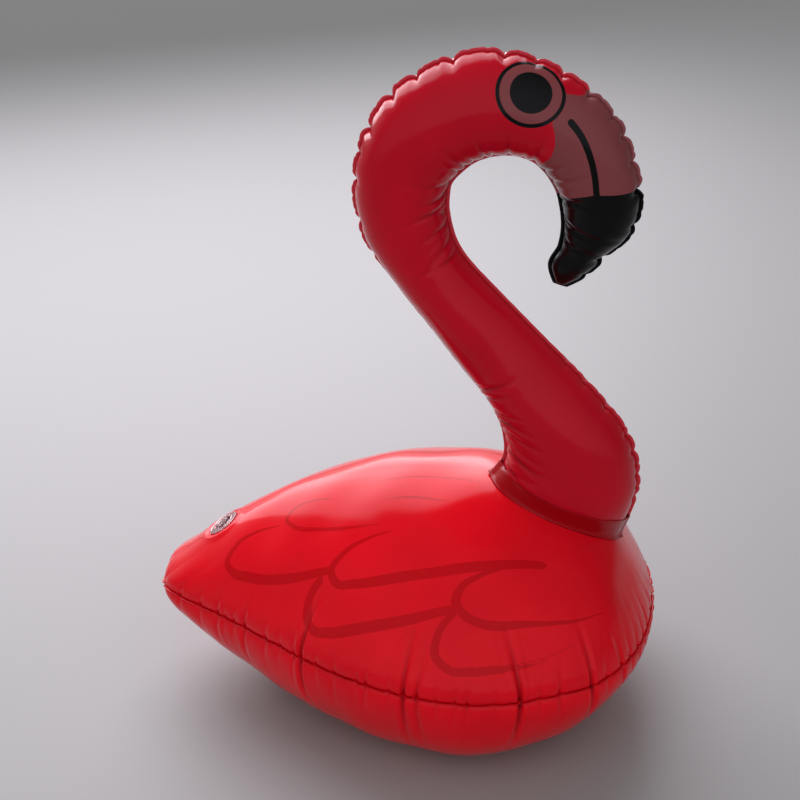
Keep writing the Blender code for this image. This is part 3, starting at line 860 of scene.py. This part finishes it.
def build_collar(points, normals):
    """The band round the neck's foot: double film, flared a little where it is welded to the body."""
    low_rows = points[:60]
    columns = points.shape[1]
    along = grid_along(low_rows)
    turn = np.linspace(0, 2 * math.pi, columns, endpoint=False)
    top = COLLAR_REAR_HEIGHT + (COLLAR_HEIGHT - COLLAR_REAR_HEIGHT) * (1 + np.cos(turn)) / 2
    corner = np.exp(-(np.sin(turn) / 0.10) ** 2) * COLLAR_CORNER
    wobble = 0.0005 * np.sin(turn * 9 + 0.6) + 0.0003 * np.sin(turn * 23)
    levels = []
    for share, out in COLLAR_SECTION:
        ring = []
        for k in range(columns):
            height = share * top[k]
            want = max(height, 0) + (wobble[k] if share > 0.7 else 0)
            spot = np.array([np.interp(want, along[:, k], low_rows[:, k, axis]) for axis in range(3)])
            spot = spot + normals[2, k] * (out + corner[k] * (1 if out > 0.0008 else 0.55))
            spot[2] += min(height, 0)
            ring.append(spot)
        levels.append(ring)
    faces = grid_faces(len(levels), columns, rows_close=True)
    collar = mesh_object("neck_collar_band", np.array(levels).reshape(-1, 3), faces)
    collar.data.materials.append(collar_vinyl)
    piece(collar, "float", "collar_vinyl", "neck_collar")


# ---- The valve ----


def at_valve(local):
    """Points given as (along the slope, left, height over the flange's outer face) in the object's frame."""
    left = np.array((0.0, 1.0, 0.0))
    axes = np.stack([np.cross(left, VALVE_AXIS), left, VALVE_AXIS])
    return VALVE_MIDDLE + VALVE_AXIS * FLANGE_HALF + np.asarray(local, float) @ axes


def rounded(profile, radius, closed=True):
    """The profile with its corners cut to arcs. An open profile keeps its two ends."""
    profile = [np.array(p, float) for p in profile]
    result = []
    for i, corner in enumerate(profile):
        if not closed and i in (0, len(profile) - 1):
            result.append(corner)
            continue
        before, after = profile[i - 1], profile[(i + 1) % len(profile)]
        cut = min(radius, 0.45 * np.linalg.norm(before - corner), 0.45 * np.linalg.norm(after - corner))
        start = corner + unit(before - corner) * cut
        end = corner + unit(after - corner) * cut
        for t in np.linspace(0, 1, 4):
            result.append((1 - t) ** 2 * start + 2 * t * (1 - t) * corner + t**2 * end)
    return result


def turned(name, profile, closed=True, steps=96):
    """A ring or a disc from a profile of (radius, height), its outer side running down."""
    turn = np.linspace(0, 2 * math.pi, steps, endpoint=False)
    points, rings = [], []
    for radius, height in profile:
        if radius < 1e-7:
            rings.append([len(points)] * steps)
            points.append((0, 0, height))
            continue
        rings.append(list(range(len(points), len(points) + steps)))
        points.extend(zip(radius * np.cos(turn), radius * np.sin(turn), np.full(steps, height)))
    faces = []
    for upper, lower in zip(rings, rings[1:] + (rings[:1] if closed else [])):
        for k in range(steps):
            after = (k + 1) % steps
            face = tuple(dict.fromkeys((upper[k], lower[k], lower[after], upper[after])))
            if len(face) > 2:
                faces.append(face)
    return mesh_object(name, at_valve(points), faces)


def build_valve():
    flange = turned("valve_flange_disc", rounded(FLANGE_OUTLINE, 0.0004))
    finish_part(flange, "float", "valve_flange")

    membrane = soft_funnel()
    finish_part(membrane, None, "valve_membrane")
    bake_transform(membrane)

    stem = turned("valve_stem_tube", rounded(STEM_OUTLINE, 0.0004))
    finish_part(stem, "stem", "valve_stem")

    plug = turned("valve_stopper", rounded(STOPPER_OUTLINE, 0.00035, closed=False), closed=False)
    finish_part(plug, "plug", "valve_plug")
    tab = rounded_tab()
    finish_part(tab, "plug", None)

    flap = turned("valve_flap_leaf", rounded(FLAP_OUTLINE, 0.0002, closed=False), closed=False, steps=64)
    finish_part(flap, "check_flap", "valve_check_flap")

    strap = tether()
    finish_part(strap, None, "plug_tether")
    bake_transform(strap)


def soft_funnel():
    """The pleated ring of soft vinyl from the flange's hole in to the stem's inner end."""
    share = np.linspace(0.0, 1.0, 26)
    inner, outer = FUNNEL_RADII
    radius = inner + (outer - inner) * np.cos(share * math.pi / 2) ** 0.7
    radius += 0.00025 * np.sin(share * math.pi * 7)
    path = np.column_stack([radius, FUNNEL_TOP + (FUNNEL_BOTTOM - FUNNEL_TOP) * share])
    along = unit(np.gradient(path, axis=0))
    half_wall = np.column_stack([along[:, 1], -along[:, 0]]) * FUNNEL_THICKNESS / 2
    return turned("valve_soft_funnel", [*(path - half_wall), *(path + half_wall)[::-1]])


def bar(name, path, widths, thickness):
    """A flat strap with round edges along a path of local points, its width across the slope."""
    path = np.array(path, float)
    along = unit(np.gradient(path, axis=0))
    side = np.array((1.0, 0.0, 0.0))
    up = unit(np.cross(along, side))
    loops = []
    for turn in np.linspace(0, 2 * math.pi, 14, endpoint=False):
        across, over = (math.copysign(abs(way) ** 0.6, way) for way in (math.cos(turn), math.sin(turn)))
        loops.append(path + side * (across * widths / 2)[:, None] + up * over * thickness / 2)
    points = np.stack(loops, axis=1)
    faces = grid_faces(len(path), len(loops)) + end_caps(len(path), len(loops))
    return mesh_object(name, at_valve(points.reshape(-1, 3)), faces)


def rounded_tab():
    """The finger tab, which lifts a little from the stopper's rim to its round end."""
    reach = np.linspace(*TAB_REACH, 12)
    share = (reach - reach[0]) / (reach[-1] - reach[0])
    widths = TAB_WIDTH * np.sqrt(np.clip(1 - np.clip((share - 0.55) / 0.47, 0, 1) ** 2, 0.01, 1))
    path = np.column_stack([0 * reach, -reach, 0.00175 + 0.0004 * share])
    return bar("stopper_finger_tab", path, widths, TAB_THICKNESS)


def tether():
    """The strap, bent double from the stem's rim round to the stopper's."""
    low, high = STRAP_HEIGHTS
    near, middle, bend = STRAP_REACH, (low + high) / 2, (high - low) / 2
    path = [(0.0, near, low), (0.0, near + 0.0006, low)]
    for angle in np.radians(np.linspace(-90, 90, 15)):
        path.append((0.0, near + 0.0013 + 0.0012 * math.cos(angle), middle + bend * math.sin(angle)))
    path += [(0.0, near + 0.0006, high), (0.0, near, high)]
    return bar("stopper_strap", path, np.full(len(path), STRAP_WIDTH), STRAP_THICKNESS)


# ---- Materials ----


def new_material(name):
    material = bpy.data.materials.new(name)
    material.use_nodes = True
    return material, material.node_tree, material.node_tree.nodes["Principled BSDF"].inputs


def noise(tree, coordinates, scale, detail):
    texture = tree.nodes.new("ShaderNodeTexNoise")
    texture.inputs["Scale"].default_value = scale
    texture.inputs["Detail"].default_value = detail
    tree.links.new(coordinates, texture.inputs["Vector"])
    return texture.outputs["Fac"]


def mapped(tree, value, span, result):
    remap = tree.nodes.new("ShaderNodeMapRange")
    remap.inputs["From Min"].default_value, remap.inputs["From Max"].default_value = span
    remap.inputs["To Min"].default_value, remap.inputs["To Max"].default_value = result
    tree.links.new(value, remap.inputs["Value"])
    return remap.outputs["Result"]


def mixed(tree, under, over_color, mask):
    """The colour under, which is a socket or fixed, with over_color laid on it where the mask is 1."""
    mix = tree.nodes.new("ShaderNodeMix")
    mix.data_type = "RGBA"
    if isinstance(under, tuple):
        mix.inputs["A"].default_value = (*under, 1)
    else:
        tree.links.new(under, mix.inputs["A"])
    mix.inputs["B"].default_value = (*over_color, 1)
    tree.links.new(mask, mix.inputs["Factor"])
    return mix.outputs["Result"]


def attribute(tree, name):
    read = tree.nodes.new("ShaderNodeAttribute")
    read.attribute_name = name
    return read.outputs["Fac"]


def math_node(tree, operation, *values):
    node = tree.nodes.new("ShaderNodeMath")
    node.operation = operation
    for socket, value in zip(node.inputs, values):
        tree.links.new(value, socket)
    return node.outputs["Value"]


def shaded(color, share):
    return tuple(min(c * share, 1) for c in color)


def vinyl(name, color, roughness, prints=(), feather=None, weld_shade=0.0, fold_shade=0.0):
    """Glossy soft film: faint cloudiness, fine surface grain, and printed areas. prints are (attribute, colour)
    of signed distances, the later over the earlier, and feather is the colour of the feather lines. The film's
    colour is painted darker beside its weld and in its folds by the last two arguments, as painted shade."""
    material, tree, inputs = new_material(name)
    place = tree.nodes.new("ShaderNodeTexCoord").outputs["Object"]

    clouds = mapped(tree, noise(tree, place, 9.0, 4.0), (0.3, 0.7), (0, 1))
    last = mixed(tree, shaded(color, 0.92), shaded(color, 1.06), clouds)
    # Painted shade: the film is darker within about 2 mm of the weld
    if weld_shade:
        near = mapped(tree, attribute(tree, "away"), (0.0022, 0.0002), (0, 1))
        last = mixed(tree, last, shaded(color, 1 - weld_shade), near)
    # Painted shade: the film is darker the deeper its fold
    if fold_shade:
        deep = mapped(tree, attribute(tree, "fold"), (0.15, 1.0), (0, fold_shade))
        last = mixed(tree, last, shaded(color, 0.40), deep)
    if feather:
        last = mixed(tree, last, feather, feather_mask(tree))
    for printed, print_color in prints:
        mask = mapped(tree, attribute(tree, printed), (-0.0002, 0.0002), (0, 1))
        last = mixed(tree, last, print_color, mask)
    tree.links.new(last, inputs["Base Color"])

    smudges = noise(tree, place, 22.0, 6.0)
    tree.links.new(mapped(tree, smudges, (0.35, 0.7), (roughness * 0.8, roughness * 1.25)), inputs["Roughness"])
    grain = tree.nodes.new("ShaderNodeBump")
    grain.inputs["Strength"].default_value = 0.05
    grain.inputs["Distance"].default_value = 0.0004
    tree.links.new(noise(tree, place, 140.0, 5.0), grain.inputs["Height"])
    tree.links.new(grain.outputs["Normal"], inputs["Normal"])

    inputs["IOR"].default_value = 1.5
    inputs["Specular IOR Level"].default_value = 0.34
    inputs["Specular Tint"].default_value = (*SHEEN_TINT, 1)
    return material


def feather_mask(tree):
    """1 inside any feather line: where the offset from its middle is under half its width."""
    total = None
    for group in range(len(FEATHER_GROUPS)):
        aside = math_node(tree, "ABSOLUTE", attribute(tree, f"feather_offset_{group}"))
        inside = math_node(tree, "SUBTRACT", attribute(tree, f"feather_half_{group}"), aside)
        mask = mapped(tree, inside, (-0.0004, 0.0004), (0, 1))
        total = math_node(tree, "MAXIMUM", total, mask) if total else mask
    return total


def clear_vinyl():
    """The valve's clear moulded vinyl: a little milky, with the red film showing through it."""
    material = vinyl("clear_vinyl", CLEAR, 0.09)
    inputs = material.node_tree.nodes["Principled BSDF"].inputs
    inputs["Transmission Weight"].default_value = 0.82
    inputs["Specular IOR Level"].default_value = 0.5
    inputs["Specular Tint"].default_value = (1, 1, 1, 1)
    return material


def floor_material():
    material, tree, inputs = new_material("pale_floor")
    place = tree.nodes.new("ShaderNodeTexCoord").outputs["Generated"]
    tree.links.new(mapped(tree, noise(tree, place, 3.0, 2.0), (0, 1), (0.52, 0.62)), inputs["Roughness"])
    inputs["Base Color"].default_value = (*FLOOR_GRAY, 1)
    return material


# The body films are painted darker beside their weld and in their folds, and the head's film in its folds:
# painted shade
body_vinyl = vinyl("red_vinyl_feathers", BODY_RED, 0.16, feather=FEATHER_RED, weld_shade=0.25, fold_shade=0.65)
plain_vinyl = vinyl("red_vinyl_plain", BODY_RED, 0.16, weld_shade=0.25, fold_shade=0.65)
head_vinyl = vinyl("red_vinyl_head", NECK_RED, 0.16, [("pale", PALE), ("ink", BLACK)], fold_shade=0.6)
# The neck's lip gets its lighter, pinker colours here: painted light
neck_lip_vinyl = vinyl("red_vinyl_neck_lip", NECK_LIP_RED, 0.14, [("pale", LIP_PALE), ("ink", BLACK)])
# The body's weld lip is painted darker than the film: painted shade for the shadow under the lip
lip_vinyl = vinyl("red_vinyl_lip", shaded(BODY_RED, 0.75), 0.20)
collar_vinyl = vinyl("red_vinyl_collar", COLLAR_RED, 0.20)
valve_vinyl = clear_vinyl()


def piece(obj, body, slot, *nodes):
    if body:
        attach(obj, body)
    if nodes:
        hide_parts(*nodes)


def finish_part(obj, body, node):
    obj.data.materials.append(valve_vinyl)
    piece(obj, body, "clear_vinyl", *([node] if node else []))


# ---- Floor, light and camera ----


def build_floor():
    bpy.ops.mesh.primitive_plane_add(size=16, location=(0, 0, -0.0003))
    floor = bpy.context.object
    floor.name = "floor"
    floor.data.materials.append(floor_material())


def glow(tree, toward, span, result):
    """Light from the studio's far walls: strongest in one direction and fading to its sides."""
    direction = tree.nodes.new("ShaderNodeTexCoord")
    towards = tree.nodes.new("ShaderNodeVectorMath")
    towards.operation = "DOT_PRODUCT"
    towards.inputs[1].default_value = Vector(toward).normalized()
    tree.links.new(direction.outputs["Generated"], towards.inputs[0])
    return mapped(tree, towards.outputs["Value"], span, result)


def build_lights():
    """One large softbox behind and above, in a studio that is bright in front and low at the back."""
    light = bpy.data.lights.new("back_top_box", "AREA")
    light.shape = "RECTANGLE"
    light.size = light.size_y = 2.5
    light.energy = 74
    light.color = (0.98, 0.93, 1.0)
    softbox = bpy.data.objects.new("back_top_box", light)
    softbox.location = (-0.75, 1.45, 1.66)
    way = Vector((-0.05, -0.05, 0.35)) - softbox.location
    softbox.rotation_euler = way.to_track_quat("-Z", "Y").to_euler()
    bpy.context.scene.collection.objects.link(softbox)
    world = bpy.data.worlds.new("studio")
    world.use_nodes = True
    tree = world.node_tree
    background = tree.nodes["Background"]
    background.inputs["Color"].default_value = (0.98, 0.98, 1.0, 1)
    front = glow(tree, (0.08, -0.97, 0.14), (-0.10, 1.0), (0.08, 1.25))
    back = glow(tree, (-0.45, 0.88, 0.12), (0.45, 1.0), (0.0, 0.90))
    tree.links.new(math_node(tree, "ADD", front, back), background.inputs["Strength"])
    bpy.context.scene.world = world
    bpy.context.scene.view_settings.view_transform = "Standard"


def build_camera():
    camera = bpy.data.cameras.new("camera")
    camera.lens = CAMERA_LENS
    camera.sensor_width = 36
    obj = bpy.data.objects.new("camera", camera)
    level = math.cos(CAMERA_ELEVATION)
    back = Vector((math.sin(CAMERA_AZIMUTH) * level, -math.cos(CAMERA_AZIMUTH) * level, 0))
    back.z = math.sin(CAMERA_ELEVATION)
    obj.location = CAMERA_AIM + back * CAMERA_DISTANCE
    obj.rotation_euler = back.to_track_quat("Z", "Y").to_euler()
    bpy.context.scene.collection.objects.link(obj)
    bpy.context.scene.camera = obj


build_body()
build_neck()
build_valve()
build_floor()
build_lights()
build_camera()
